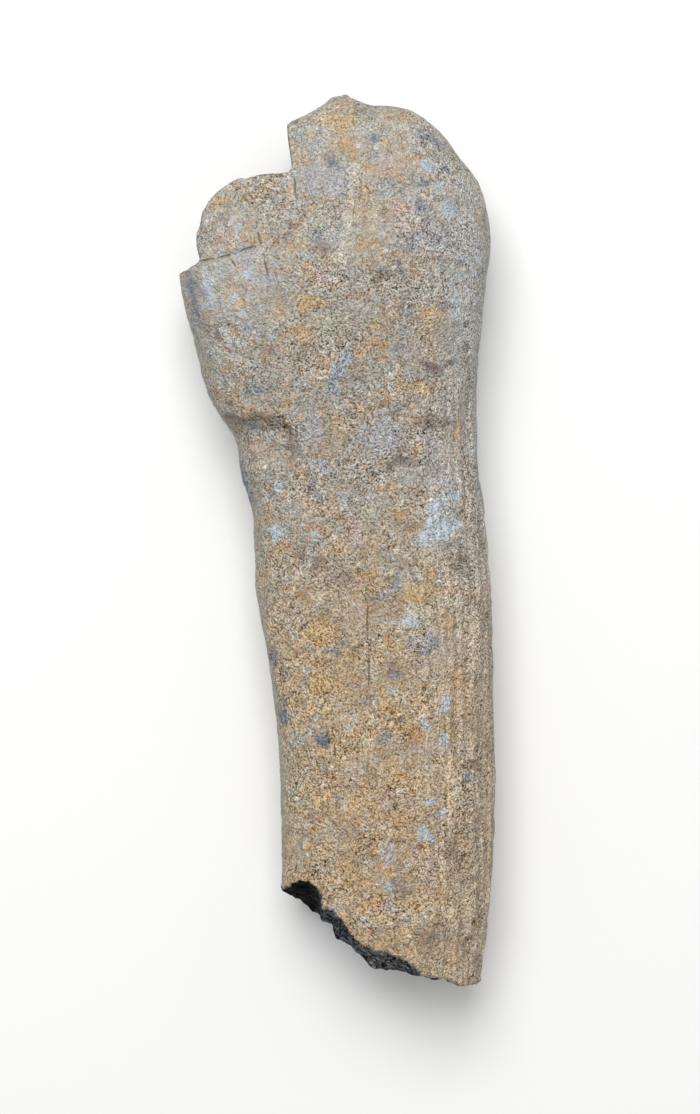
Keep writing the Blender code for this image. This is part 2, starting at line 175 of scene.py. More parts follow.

# Each tone's stains, with a few marks of painted shade among the umber, slate and ink ones
MARKS = {
    "cream": (
        Mark(4.7, 119, 1.6, 5.2, 5, 0.6),
        Mark(21, 134.4, 4.3, 3.3, 0, 0.5),
        Mark(3.7, 100.5, 2.3, 5.9, -12, 0.75),
        Mark(0.8, 92.7, 2, 4.6, -20, 0.7),
        Mark(16.3, 88.6, 3.3, 1.6, 0, 0.4),
        Mark(-24.5, 106.6, 2.6, 2, 0, 0.4),
        Mark(-24.5, 90.9, 3.9, 2.6, 0, 0.5),
        Mark(4, -7.5, 2, 2, 0, 0.6),
        Mark(27, -27, 7, 5, 0, 0.85),
        Mark(4.4, -59.8, 5.6, 2.9, 0, 0.4),
        Mark(22, -83.6, 1.6, 1.6, 0, 0.7),
        Mark(28.8, -97, 1, 1, 0, 0.7),
        Mark(33.9, -141.9, 2.6, 1.3, 0, 0.6),
    ),
    "ink": (
        Mark(-22.3, -38.6, 1.4, 3, 0, 0.75),
        Mark(-18, -57.3, 1.3, 4.5, 0, 0.75),
        Mark(27, 115.2, 2.6, 1, 10, 0.65),
        Mark(36, 121.5, 1.2, 2.3, 0, 0.6),
        Mark(31, 131, 3.6, 1.1, -35, 0.65),
        Mark(26.7, 107.2, 1.4, 2, 0, 0.7),
        Mark(-2, 122.4, 1.1, 2.1, -30, 0.7),
        Mark(11.2, 129, 1.1, 1.9, 15, 0.65),
        Mark(24.2, 94.6, 2.6, 1.3, 0, 0.6),
        Mark(20.5, 89.5, 2.3, 1.3, 0, 0.6),
        Mark(-5.8, -65.3, 1.6, 1.6, 0, 0.8),
        Mark(28.5, -37.5, 2.3, 1.6, 0, 0.6),
        # partly a dark tint of the stone and partly painted shade of the flare's left side face
        Mark(-47.6, 80, 1.3, 9, 12, 0.6),
        Mark(-28.8, 33, 1.6, 1.6, 0, 0.6),
        # painted shade of the side hollow at the left of the shaft
        Mark(-31.5, 17, 1.4, 6, 15, 0.7),
        Mark(-1.8, 52, 1.3, 1.6, 0, 0.7),
    ),
    "steel": (
        Mark(2.4, 59, 1.8, 2.6, -20, 1.1),
        Mark(0.1, 53.6, 1.5, 3, -20, 1.1),
        Mark(-1.5, 49.1, 1.6, 2.2, 0, 0.9),
    ),
    "plum": (
        Mark(17.4, -42.6, 2.1, 2.4, 0, 0.65),
        Mark(30.8, 55.4, 3, 1.4, -25, 0.5),
        Mark(20.8, 24.6, 4.2, 2, 0, 0.35),
        Mark(29.4, 98, 3.6, 2.3, 0, 0.6),
    ),
    "lilac": (
        Mark(-6.3, 117.7, 7.2, 3.9, 20, 0.8),
        Mark(0.2, 114.2, 3.3, 4.6, 0, 0.7),
        Mark(32, 96.1, 4.6, 3.3, 0, 0.7),
        Mark(-0.5, 99.2, 1.3, 4.6, -12, 0.7),
        Mark(-10.2, 106.5, 4.6, 3.3, 0, 0.3),
        Mark(-30, 91.7, 5.6, 2.9, 10, 0.9),
        Mark(-23.2, 85.1, 4.3, 2.6, 0, 0.8),
        Mark(23.6, 60.8, 3.3, 2.6, 0, 0.4),
        Mark(-7.4, 36.8, 2.9, 5.6, 0, 0.7),
        Mark(-5.1, 23.2, 2.9, 2.9, -30, 1),
        Mark(14.8, 33.3, 5.9, 4.3, 0, 0.8),
        Mark(30.2, 31.4, 4.6, 2.6, 0, 0.5),
        Mark(28.3, -33.1, 4.6, 3.3, 0, 0.8),
        Mark(16.8, -103.3, 1.6, 2.9, 0, 0.9),
        Mark(17.1, -121, 1.6, 2.6, 0, 0.8),
    ),
    "ochre": (
        Mark(0.8, 136, 5.6, 2.9, 0, 0.9),
        Mark(2.4, 143.2, 2.9, 2.6, 0, 0.5),
        Mark(2.4, 127.1, 3.9, 2.9, 20, 0.6),
        Mark(16.4, 128.9, 2, 1.6, 0, 0.7),
        Mark(29.4, 113.1, 2, 1.6, 0, 0.6),
        Mark(12.5, 91.5, 3.9, 2.9, 0, 0.5),
        Mark(-39.7, 109.8, 2, 4.3, 0, 0.6),
        Mark(-24.5, 96.4, 3.9, 2.9, 0, 0.5),
        Mark(-12.8, 93.8, 5.2, 2.6, 0, 0.5),
        Mark(-31, 76.6, 6.5, 3.9, 0, 0.3),
        Mark(-8.9, 76, 4.3, 3.6, 0, 0.8),
        Mark(30.7, 73.9, 3.3, 4.3, 0, 0.7),
        Mark(24.9, 49.9, 7.2, 2.3, 0, 0.8),
        Mark(15.4, 46.5, 3.3, 2, 0, 0.5),
        Mark(28.1, 66.7, 4.3, 3.6, 0, 0.4),
        Mark(-0.5, 37.1, 1.3, 8.5, 0, 0.4),
        Mark(17.1, 17.3, 4.6, 2, 0, 0.5),
        Mark(2.1, -3.6, 3.6, 3.6, 0, 0.5),
        Mark(12.6, -10.8, 1.3, 1.3, 0, 0.8),
        Mark(30.6, -11.5, 2, 2.9, 0, 0.6),
        Mark(26.3, -18.3, 4.9, 2.3, 0, 1),
        Mark(-5.8, -30.4, 4.3, 4.9, 0, 1),
        Mark(-6.4, -47.5, 4.9, 2.9, 0, 0.9),
        Mark(-12.3, -20, 5.2, 2.9, 0, 0.5),
        Mark(38.5, -63.1, 4.3, 3.6, 0, 0.4),
        Mark(4, -111.5, 5.6, 3.6, 0, 0.6),
        Mark(-5.8, -85.5, 3.9, 3.3, 0, 0.4),
    ),
    "pale_blue": (
        Mark(-34, 70, 12, 14, 0, 0.3),
        Mark(43, 85, 9, 24, 0, 0.32),
        Mark(29.8, 120.9, 3.6, 2.6, -10, 0.7),
        Mark(33.4, 114, 2.6, 1.3, 0, 0.6),
        Mark(37, 106.9, 3.9, 2.6, -25, 0.75),
        Mark(24.2, 110.6, 2.3, 2, 0, 0.5),
        Mark(36.6, 95.4, 2.3, 1.3, 0, 0.5),
        Mark(-32.6, 100.9, 1.3, 4.6, 12, 0.6),
        Mark(-28.4, 86.8, 1.6, 2.9, 0, 0.5),
        Mark(-42.6, 81.5, 2.3, 4.3, 12, 0.8),
        Mark(38.7, 78.8, 1.6, 2.6, 0, 0.6),
        Mark(39.1, 74.3, 1.3, 1.6, 0, 0.8),
        Mark(-19.9, 17.1, 2.3, 2.9, 0, 0.6),
        Mark(2.4, 12.1, 2.3, 2.3, 0, 0.6),
        Mark(16.5, 30.7, 3.3, 2.3, 0, 0.3),
        Mark(37.9, 15.5, 2.3, 3.6, 0, 0.6),
        Mark(32.2, 9.5, 3.3, 4.3, 0, 0.8),
        Mark(33.9, 2.6, 4.3, 4.3, 0, 0.9),
        Mark(29.3, 0.7, 3.9, 2.9, 0, 0.9),
        Mark(-19.9, 2.7, 2.6, 2, 0, 0.8),
        Mark(-8.4, 0, 1.3, 1.3, 0, 0.6),
        Mark(24, -26.2, 1.6, 2, 0, 0.8),
        Mark(17.8, -49.7, 1.3, 1.3, 0, 0.6),
        Mark(-13.4, -66.7, 1.6, 2, 0, 0.5),
        Mark(34.5, -54.4, 1.3, 1.6, 0, 0.9),
        Mark(35.2, -66.6, 1.6, 2.3, 0, 0.6),
        Mark(28.9, -61.5, 2, 1.6, 0, 0.6),
        Mark(29.6, -87, 1.3, 1.3, 0, 0.8),
        Mark(34.5, -88.4, 1.3, 1.6, 0, 0.9),
        Mark(28.8, -97, 1.5, 1.6, 0, 1.2),
        Mark(17.1, -114.1, 1.6, 2.3, 0, 0.8),
    ),
    "pink": (
        Mark(17, 121.1, 5.2, 3.9, 0, 0.9),
        Mark(20.9, 107.2, 5.2, 3.3, 0, 0.7),
        Mark(22.8, 100.6, 3.9, 2.6, 0, 0.5),
        Mark(-36.3, 98.5, 3.9, 4.6, 0, 0.5),
        Mark(-4.4, 83.7, 3.3, 3.3, 0, 0.7),
        Mark(-26.2, 30.6, 2.9, 3.9, 0, 0.7),
        Mark(5, 2.9, 2.3, 4.9, 0, 0.8),
        Mark(7.3, -23.9, 1.6, 5.9, 0, 0.7),
        Mark(4, -76.2, 2.9, 3.9, 0, 0.5),
        Mark(14.5, -85.2, 4.3, 3.3, 0, 0.5),
        Mark(30.5, -106.7, 2, 4.9, 0, 0.6),
    ),
    "rust": (
        Mark(17.7, 117.4, 3.9, 1.6, 0, 0.5),
        Mark(26.2, 124.9, 3.3, 1.6, 0, 0.6),
        Mark(46.9, 107.5, 1.6, 2.6, 0, 0.5),
        Mark(-12.2, 66.7, 4.3, 3.6, 0, 0.8),
        Mark(-19.6, 72.6, 3.3, 2.9, 0, 0.5),
        Mark(-5.7, 57.4, 7.9, 2.6, 0, 0.3),
        Mark(12.8, 63.3, 3.9, 2.6, -20, 0.8),
        Mark(43.1, 78.5, 1.3, 3.3, 0, 0.5),
        Mark(39.6, 35.9, 1.3, 9.2, -2, 0.6),
        Mark(20.7, 7.5, 3.9, 2.9, 0, 0.5),
        Mark(-7.1, 3.6, 3.3, 2.6, 0, 0.6),
        Mark(36.9, -17.1, 2.6, 2.3, 0, 0.4),
        Mark(35.6, -26.6, 2.9, 4.3, 0, 0.5),
        Mark(17.4, -40.9, 1.3, 1.3, 0, 0.6),
        Mark(38.6, -46.3, 3.6, 5.6, 0, 0.7),
        Mark(24.6, -65.8, 2.9, 2.9, 0, 0.9),
        Mark(14.2, -69.6, 2.6, 2, 0, 0.5),
        Mark(20.7, -78.7, 2.9, 2.6, 0, 0.8),
        Mark(22, -91.8, 2.9, 3.6, 0, 0.8),
        Mark(33.8, -116.6, 2, 2.6, 0, 0.6),
        Mark(41.9, -99, 2, 2.6, 0, 0.5),
        Mark(10.6, -119, 4.3, 2.9, 0, 0.8),
        Mark(38.5, -134.4, 2.9, 3.9, 0, 0.5),
    ),
    "sage": (
        Mark(-15, -75, 4, 30, 0, 0.4),
        Mark(-22, -15, 4, 16, 0, 0.35),
        Mark(-11.6, 134.3, 2.6, 3.3, 0, 0.5),
        Mark(-3.7, 68.9, 3.9, 3.3, 0, 0.8),
        Mark(28.4, 80.9, 3.3, 2.6, 0, 0.6),
        Mark(13.8, 53.6, 2.9, 3.3, 0, 0.6),
        Mark(9.3, 8.5, 3.6, 2.3, 0, 0.6),
        Mark(-25.1, -5.6, 2, 5.9, 0, 0.6),
        Mark(15.5, 12.8, 3.9, 2.6, 0, 0.4),
        Mark(35.9, -37.1, 2.3, 2, 0, 0.5),
        Mark(-4.1, -96.9, 3.6, 2, 0, 0.5),
    ),
    "slate": (
        Mark(36, 112, 9, 16, 0, 0.28),
        Mark(40, 88, 8, 8, 0, 0.2),
        Mark(-8.3, 129.5, 2.6, 2.9, 0, 0.3),
        Mark(-2.1, 122.3, 2, 2, -30, 0.9),
        Mark(11.2, 128.8, 2.3, 2, 0, 0.8),
        Mark(30.7, 131.5, 4.3, 2, -30, 0.8),
        Mark(36.1, 122.2, 1.6, 2.6, 0, 0.5),
        Mark(26.8, 115.7, 2.3, 1.6, 0, 0.8),
        Mark(28.1, 107.8, 2, 2.3, 0, 0.8),
        Mark(28, 101.5, 3.3, 2.3, 0, 0.6),
        Mark(24.4, 97.4, 2.6, 2, 0, 0.5),
        Mark(35, 98.6, 2.6, 2, 0, 0.4),
        Mark(-7.3, 96.7, 2.3, 4.3, 0, 0.6),
        Mark(20.2, 94.7, 2.6, 2.9, 0, 0.4),
        # the next three marks: partly the stone's slate tint and partly painted shade of the flare's left
        # side face
        Mark(-47.7, 83.2, 1.6, 5.9, 12, 0.8),
        Mark(-45.5, 71.9, 1.6, 7.9, 10, 0.6),
        Mark(-40.9, 59.3, 1.6, 5.9, 15, 0.5),
        Mark(-29.1, 70.1, 2.3, 2.9, 0, 0.5),
        Mark(-27.9, 48.3, 3.3, 2, 0, 0.6),
        Mark(38.5, 60.1, 2, 4.3, 0, 0.5),
        Mark(-27.1, 37.7, 2.6, 2, 0, 0.5),
        # painted shade of the side hollow at the left of the shaft
        Mark(-31, 19.1, 1.6, 6.5, 15, 0.9),
        Mark(-7.1, 16, 1.3, 3.6, 0, 0.6),
        Mark(21, 25.5, 3.3, 2, 0, 0.4),
        Mark(15.8, -6.2, 2.6, 1.6, 0, 0.5),
        Mark(19.1, -15.1, 2, 2.9, -15, 0.7),
        Mark(32.2, -35.1, 1.6, 1.6, 0, 0.7),
        Mark(-0.9, -36.6, 2.9, 2, 0, 0.7),
        Mark(-22.1, -38.4, 1.6, 2.6, 0, 0.8),
        Mark(-11.4, -46.3, 1.3, 1.3, 0, 0.6),
        Mark(18.4, -44.5, 2, 1.3, 0, 0.8),
        Mark(47.4, -41.3, 1.6, 4.3, 0, 0.5),
        Mark(-5.8, -65.2, 2.3, 2, 0, 1),
        Mark(-17.4, -57.1, 1.6, 3.9, 0, 0.7),
        Mark(16.5, -64.7, 1.6, 1.3, 0, 0.8),
        Mark(43.5, -77.7, 2.9, 2, 0, 0.6),
        Mark(46.3, -57.1, 1.6, 3.9, 0, 0.4),
        Mark(-0.2, -83.7, 2, 2.3, 0, 0.6),
        Mark(22, -125.2, 2.6, 2.3, 0, 0.5),
        Mark(-11.4, -100.5, 1.3, 3.3, 0, 0.5),
        Mark(-17.1, -83.3, 2, 2.9, 0, 0.5),
    ),
    "umber": (
        Mark(24.1, 97.1, 2.6, 1.6, 0, 0.5),
        Mark(49, 103, 1.3, 4.6, 0, 0.5),
        Mark(15.4, 85.1, 4.6, 2, 0, 0.6),
        Mark(-22.6, 111.5, 5.9, 3.3, 0, 0.3),
        Mark(-17.7, 100, 4.6, 2.6, 0, 0.5),
        Mark(-40.7, 68.6, 2.6, 2.6, 0, 0.7),
        Mark(-21, 61.4, 3.3, 2.6, 0, 0.4),
        Mark(6.3, 52.9, 2.9, 2, 0, 0.6),
        Mark(31.5, 55.2, 3.3, 1.6, -25, 1),
        # Painted shadow: these five umber marks lie in the hollow under the flare, along its steep upper wall
        Mark(-34.9, 39.3, 3.3, 1.6, -10, 0.8),
        Mark(-20.5, 39.2, 4.6, 1.3, -5, 0.8),
        Mark(-17.5, 36.3, 1.6, 2.9, 20, 0.8),
        Mark(-15.6, 32.1, 1.3, 2.3, 0, 0.6),
        Mark(-20.6, 30.5, 2, 3.9, 0, 0.3),
        Mark(31.5, 37.7, 4.3, 2.6, 0, 0.8),
        Mark(21, 25.5, 4.9, 2.3, 0, 0.7),
        Mark(-5.8, -7.9, 1.6, 2.9, 0, 0.8),
        Mark(-13, -5.6, 2.6, 2.9, 0, 0.4),
        Mark(-18.6, -15.4, 4.3, 2.3, 0, 0.4),
        Mark(1.4, -13.7, 3.9, 2.6, 0, 0.5),
        Mark(9.3, -17.3, 3.3, 2, 0, 0.4),
        Mark(40.9, -7.9, 4.9, 2.9, 0, 0.7),
        Mark(-17.7, -43.8, 2, 2, 0, 0.8),
        Mark(18.4, -42.2, 2, 1.6, 0, 0.4),
        Mark(20.4, -57.9, 3.9, 2.6, 0, 0.5),
        Mark(-5.8, -65.2, 2, 1.6, 0, 0.8),
        Mark(-11.7, -71.5, 3.6, 2.6, 0, 0.4),
        Mark(37.2, -102, 2.9, 2.9, 0, 0.6),
        Mark(21, -114.7, 3.9, 2.6, 0, 0.5),
        Mark(43.5, -114.2, 2.3, 3.9, 0, 0.5),
        Mark(28.9, -131.1, 3.3, 5.2, 0, 0.6),
        Mark(45.5, -139.7, 2, 3.9, 0, 0.5),
        Mark(-8.4, -79.7, 2.6, 2.3, 0, 0.4),
    ),
}


class Crack(NamedTuple):
    """A hairline crack: its middle, half its length and its turn in degrees."""

    x: float
    y: float
    z: float
    half_length: float
    turn: float


CRACKS = (
    Crack(-43, 90.9, 52.5, 4.2, 6),
    Crack(-36.2, 92.1, 55.1, 3.9, 12),
    Crack(-29, 94.2, 56.9, 3.9, 19.8),
    Crack(-25.4, 97.1, 57.4, 3.8, -74.7),
    Crack(-23, 87.9, 57.6, 5.8, -75.6),
    Crack(-33.9, 89.8, 55.9, 1.5, -63.5),
    Crack(-13.8, 113.7, 56, 5.6, -83.1),
    Crack(9.8, -26.5, 48.8, 9.2, -89),
    Crack(10.1, -42.8, 49.2, 9.8, -89.1),
    Crack(8, 0.7, 48.7, 2.3, -90),
)

# A crack fades out at its ends, so it is drawn this much longer. It strays to both sides of its own line.
CRACK_HALF_WIDTH, CRACK_REACH, CRACK_TAPER = 0.42, 14, 1.1
CRACK_STRAY = 1.4


class Crease(NamedTuple):
    """A long hollow: the points it runs through, its half width and its depth (below 0 for a ridge)."""

    path: tuple
    half_width: float
    depth: float


CREASES = (
    # the steep wall at the upper end of the hollow under the flare, and its foot
    Crease(
        ((-37.7, 40.4, 39), (-34.6, 39, 41), (-31.2, 37.6, 42), (-28.1, 37.8, 46), (-25.4, 38.6, 49)),
        2.0,
        1.0,
    ),
    Crease(((-25.4, 38.6, 49), (-22.1, 39.2, 50), (-19.1, 38.2, 51), (-16.9, 36, 49)), 1.8, 0.6),
    Crease(((-16.9, 36, 49), (-15.3, 33.1, 49), (-15.3, 29.8, 47), (-16.9, 27.2, 47)), 1.9, 0.7),
    # the groove and the ridge along the shaft's right edge
    Crease(
        ((44.1, 52.8, 38), (42.8, 36.2, 39), (42.4, 19.6, 40), (42.6, 6.3, 42), (45, -20.1, 40)),
        1.3,
        0.8,
    ),
    Crease(((39.6, 49.1, 44), (39.3, 32.6, 43), (39.5, 12.9, 45), (40.6, -3.6, 43)), 1.2, -0.4),
    # the dip at the head's far end, to the right of its peak
    Crease(((10.5, 141, 55), (11, 143, 35), (11, 142, 12)), 4.5, 1.4),
    # the flatter shoulder at the head's right
    Crease(((42, 127, 50), (43, 128, 30), (42, 127, 12)), 6, 1.1),
    # the ridge down the head and the furrow to its left
    Crease(((6, 121.3, 56), (5.3, 113, 57), (4, 104.7, 59), (2.4, 96.6, 59), (0.2, 88.9, 59)), 1.8, -0.5),
    Crease(((4.7, 126.4, 54), (3.4, 114.6, 58), (1, 106.3, 59), (-1, 96.6, 59)), 1.3, 0.7),
    # a short furrow at the top of the shaft
    Crease(((-3.4, 45.9, 53), (-3.1, 37.1, 52), (-3.5, 29.7, 51)), 0.9, 0.5),
    # the furrow beside the lip of the loosened plate at the head's left
    Crease(
        ((-43.9, 90.3, 52), (-39.9, 91.4, 54), (-34.9, 92.5, 56), (-30, 93.6, 57), (-25.4, 95.5, 58)),
        0.9,
        0.5,
    ),
)


def smooth_share(value, low, high):
    """0 below low, 1 above high, and a smooth rise between."""
    share = np.clip((value - low) / (high - low), 0, 1)
    return share * share * (3 - 2 * share)


def merged_bone():
    """The CAD bone in millimetres, with its loose triangles joined."""
    mesh = bmesh.new()
    mesh.from_mesh(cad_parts["limb_bone"].data)
    bmesh.ops.remove_doubles(mesh, verts=mesh.verts, dist=0.001 * MM)
    bmesh.ops.scale(mesh, verts=mesh.verts, vec=(1 / MM, 1 / MM, 1 / MM))
    mesh.normal_update()
    return mesh


def even_grid(bone):
    """The same shape as a closed skin of even squares, finer where it shows most."""
    data = bpy.data.meshes.new("even_grid")
    bone.to_mesh(data)
    holder = bpy.data.objects.new("even_grid", data)
    bpy.context.scene.collection.objects.link(holder)
    grid = holder.modifiers.new("even_grid", "REMESH")
    grid.mode = "VOXEL"
    grid.voxel_size = GRID
    skin = bmesh.new()
    skin.from_object(holder, bpy.context.evaluated_depsgraph_get())
    bpy.data.objects.remove(holder)
    bpy.data.meshes.remove(data)
    skin.normal_update()
    finer = {
        face
        for face in skin.faces
        if face.normal.z > UPPER_NORMAL or broken_end(face.calc_center_median(), face.normal)
    }
    edges = [edge for edge in skin.edges if not finer.isdisjoint(edge.link_faces)]
    bmesh.ops.subdivide_edges(skin, edges=edges, cuts=1, use_grid_fill=True)
    return skin


def crisp_lines(bone):
    """Points all along the crisp edges of the breaks, to look up the nearest."""
    points = []
    for edge in bone.edges:
        if edge.calc_face_angle(0) > SHARP_ANGLE:
            start, end = (v.co for v in edge.verts)
            steps = max(1, round((end - start).length / SHARP_STEP))
            points += [start.lerp(end, i / steps) for i in range(steps + 1)]
    lines = KDTree(len(points))
    for i, point in enumerate(points):
        lines.insert(point, i)
    lines.balance()
    return lines


def fit_to_bone(skin, bone):
    """Puts the skin on the CAD bone, crisp along its breaks and free of facets elsewhere.

    It gives how far each point is from a crisp edge.
    """
    shape = BVHTree.FromBMesh(bone)
    lines = crisp_lines(bone)
    soft = []
    from_edge = []
    for vertex in skin.verts:
        nearest, _, distance = lines.find(vertex.co)
        from_edge.append(distance)
        vertex.co = nearest if distance < SNAP else shape.find_nearest(vertex.co)[0]
        if distance > SOFT_FROM and vertex.co.z > FLOOR_TOUCH:
            soft.append(vertex)
    axes = {"use_axis_x": True, "use_axis_y": True, "use_axis_z": True}
    for _ in range(SMOOTH_ROUNDS):
        bmesh.ops.smooth_vert(skin, verts=soft, factor=SMOOTH_FACTOR, **axes)
    skin.normal_update()
    return np.array(from_edge)


def broken_end(place, facing):
    """Whether a place is on the snapped face of the shaft or inside the marrow hollow."""
    step = STEPS_LEFT < place.x < STEPS_RIGHT and abs(facing.z) < STEEP
    snapped = place.y < SHAFT_BREAK_FROM and (facing.y < END_LOOKS or step)
    hollow = all(low < part < high for low, part, high in zip(MARROW_LOW, place, MARROW_HIGH))
    return snapped or hollow


def broken_head(place, facing):
    """Whether a place is on the broken walls of the head's upper left edge."""
    leftward = facing.x < WALL_LOOKS_LEFT and place.y > PLATE_END
    wall = abs(facing.z) < STEEP and (facing.y > WALL_LOOKS_ALONG or leftward)
    return wall and place.y > HEAD_BREAK_FROM and place.x < HEAD_BREAK_RIGHT


def crust(place):
    """Height of the weathered surface."""
    place = PATTERN_TURN @ place
    lumps = LUMP_HEIGHT * noise.noise(place / LUMP_SIZE)
    knobs = KNOB_HEIGHT * noise.noise(place / KNOB_SIZE + KNOB_SHIFT)
    grains = GRAIN_HEIGHT * (GRAIN_MIDDLE - noise.voronoi(place / GRAIN_SIZE)[0][0])
    grit = GRIT_HEIGHT * noise.noise(place / GRIT_SIZE + GRIT_SHIFT)
    pits = -PIT_DEPTH * smooth_share(noise.noise(place / PIT_SIZE + PIT_SHIFT), PIT_FROM, PIT_FULL)
    return lumps + knobs + grains + grit + pits


def fibres(place):
    """Height of the lengthwise fibres that weather out along the shaft's right side."""
    stretched = Vector((place.x / FIBRE_WIDTH, place.y / FIBRE_LENGTH, place.z / FIBRE_WIDTH))
    rightward = smooth_share(place.x, FIBRES_FROM, FIBRES_FULL)
    share = rightward * smooth_share(-place.y, -FIBRES_START, FIBRES_FADE - FIBRES_START)
    return FIBRE_HEIGHT * (noise.noise(stretched) - FIBRE_MIDDLE) * share


def creased(points):
    """How far the creases sink or lift each point."""
    total = np.zeros(len(points))
    for crease in CREASES:
        nearest = np.full(len(points), np.inf)
        for start, end in zip(np.array(crease.path, float), np.array(crease.path[1:], float)):
            run = end - start
            share = np.clip((points - start) @ run / (run @ run), 0, 1)
            nearest = np.minimum(nearest, np.linalg.norm(points - start - share[:, None] * run, axis=1))
        total -= crease.depth * np.exp(-((nearest / crease.half_width) ** 2))
    return total


def parted_layers(place, step_height, chip_height):
    """Height of a broken face: steps with chipped treads."""
    steps = STEP_LEVELS * noise.noise(place / STEP_SIZE + STEP_SHIFT)
    chips = chip_height * noise.noise(place / CHIP_SIZE + CHIP_SHIFT)
    return step_height / STEP_LEVELS * (np.floor(steps) + smooth_share(steps % 1, *STEP_RISER)) + chips


def strayed(place):
    """A place moved to and fro, which makes the stains' outlines ragged."""
    moved = []
    for axis, value in ((Vector((1, 0, 0)), place.x), (Vector((0, 1, 0)), place.y)):
        value += MARK_WANDER * noise.noise(place / MARK_WANDER_SIZE + WANDER_SHIFT * axis)
        value += MARK_FRAY * noise.noise(place / MARK_FRAY_SIZE + FRAY_SHIFT * axis)
        moved.append(value)
    return (*moved, place.z)


def patches(places, bone):
    """How strong each tone's stains and marks of painted shade, and the wear, are at each place."""
    shape = BVHTree.FromBMesh(bone)
    points = np.array([strayed(place) for place in places])
    found = {}
    for name, marks in {**MARKS, "worn": WORN}.items():
        total = np.zeros(len(points))
        for mark in marks:
            above = Vector((mark.x, mark.y, LOOK_FROM))
            middle = shape.ray_cast(above, Vector((0, 0, -1)))[0] or Vector((mark.x, mark.y, NO_BONE))
            offset = points - np.array(middle)
            c, s = np.cos(np.radians(mark.turn)), np.sin(np.radians(mark.turn))
            across = (offset[:, 0] * c + offset[:, 1] * s) / mark.across
            along = (offset[:, 1] * c - offset[:, 0] * s) / mark.along
            distance = across**2 + along**2 + (offset[:, 2] / MARK_DEPTH) ** 2
            total = np.maximum(total, mark.strength * np.exp(-MARK_FADE * distance))
        found[name] = total
    return found


def crust_height(places, points):
    """Height of the crust with its fibres and creases."""
    calm = 1 - CALM_SHARE * smooth_share(points[:, 1], CALM_FROM, CALM_FULL)
    height = calm * np.array([crust(p) for p in places]) + np.array([fibres(p) for p in places])
    return height + creased(points)


def broken_height(places, from_edge, end, wall):
    """Height of the broken faces."""
    parted = np.array([
        parted_layers(p, *(END_RELIEF if e else WALL_RELIEF)) if e or w else 0
        for p, e, w in zip(places, end, wall)
    ])
    edge_share = np.where(end > 0, END_EDGE_SHARE, WALL_EDGE_SHARE)
    calmed = parted * (edge_share + (1 - edge_share) * smooth_share(from_edge, 0, EDGE_CALM))
    # The walls' relief only goes inwards, so it doesn't show in the outline from above
    return np.where(wall > 0, np.minimum(calmed, 0), calmed)


def raise_skin(skin, facings, height):
    """Moves the skin by its height, except where it touches the floor."""
    low, high = (np.array(corner) / MM for corner in cad_box)
    for vertex, facing, move in zip(skin.verts, facings, height):
        if vertex.co.z > FLOOR_TOUCH:
            vertex.co += facing * float(move)
        vertex.co = np.clip(vertex.co, low + BOX_MARGIN, high - BOX_MARGIN)


def finished(skin, layers):
    """The skin as a mesh in metres that carries what its material reads at each point."""
    bmesh.ops.scale(skin, verts=skin.verts, vec=(MM, MM, MM))
    bmesh.ops.recalc_face_normals(skin, faces=skin.faces)
    data = bpy.data.meshes.new("weathered_bone")
    skin.to_mesh(data)
    for name, values in layers.items():
        layer = data.attributes.new(name, "FLOAT", "POINT")
        layer.data.foreach_set("value", values.astype(np.float32))
    data.shade_smooth()
    return data


def make_bone():
    """The bone's visible skin: the CAD shape with its crust and its broken faces."""
    bone = merged_bone()
    skin = even_grid(bone)
    from_edge = fit_to_bone(skin, bone)
    places = [v.co.copy() for v in skin.verts]
    facings = [v.normal.copy() for v in skin.verts]
    points = np.array(places)
    end = np.array([broken_end(p, n) for p, n in zip(places, facings)], float)
    wall = np.array([broken_head(p, n) for p, n in zip(places, facings)], float)
    layers = patches(places, bone)
    broken = broken_height(places, from_edge, end, wall)
    height = np.where(end + wall > 0, broken, crust_height(places, points))
    raise_skin(skin, facings, height)
    # Painted light and shade from the relief: raised places are drawn lighter, sunk ones darker, as in the
    # hollow under the flare
    layers["hollow"] = np.clip(height / RELIEF_SHADE_FULL, -1, 1)
    # painted shade: the share that greys the sides, by how far each place has turned from facing up
    layers["side"] = smooth_share(1 - np.array([n.z for n in facings]), SIDE_SHADE_FROM, SIDE_SHADE_FULL)
    in_hollow = ((points > MARROW_LOW) & (points < MARROW_HIGH)).all(axis=1)
    lapped = (points[:, 0] > LAP_FROM) & (from_edge < LAP) & ~in_hollow
    layers["snapped_end"] = np.where(lapped, 0, end)
    layers["head_wall"] = wall
    made = bpy.data.objects.new("weathered_bone", finished(skin, layers))
    bpy.context.scene.collection.objects.link(made)
    skin.free()
    bone.free()
    return made


def linear(colour):
    """A colour given in sRGB hex as the linear RGBA that a shader takes."""
    parts = [int(colour[i : i + 2], 16) / 255 for i in (1, 3, 5)]
    return [p / 12.92 if p <= 0.04045 else ((p + 0.055) / 1.055) ** 2.4 for p in parts] + [1]


def add(tree, kind, settings=None, links=None):
    """Adds a shader node with its settings and what feeds it, and gives its first output."""
    made = tree.nodes.new("ShaderNode" + kind)
    for name, value in (settings or {}).items():
        if isinstance(name, str) and hasattr(made, name):
            setattr(made, name, value)
        else:
            made.inputs[name].default_value = value
    for name, source in (links or {}).items():
        tree.links.new(source, made.inputs[name])
    return next((socket for socket in made.outputs if socket.enabled), None)


# The inputs of a maths node, of a colour mix, and of a node that maps one range of values to another
FIRST, SECOND, THIRD = 0, 1, 2
SHARE, UNDER, OVER = 0, 6, 7
VALUE, FROM, FULL, LOW, HIGH = 0, 1, 2, 3, 4

# The patterns are turned off the bone's axes, and jittered so that grains aren't round
PATTERN_TILT = (0.4, 0.5, 0.6)
JITTER, JITTER_SIZE = 1.6, 1.4

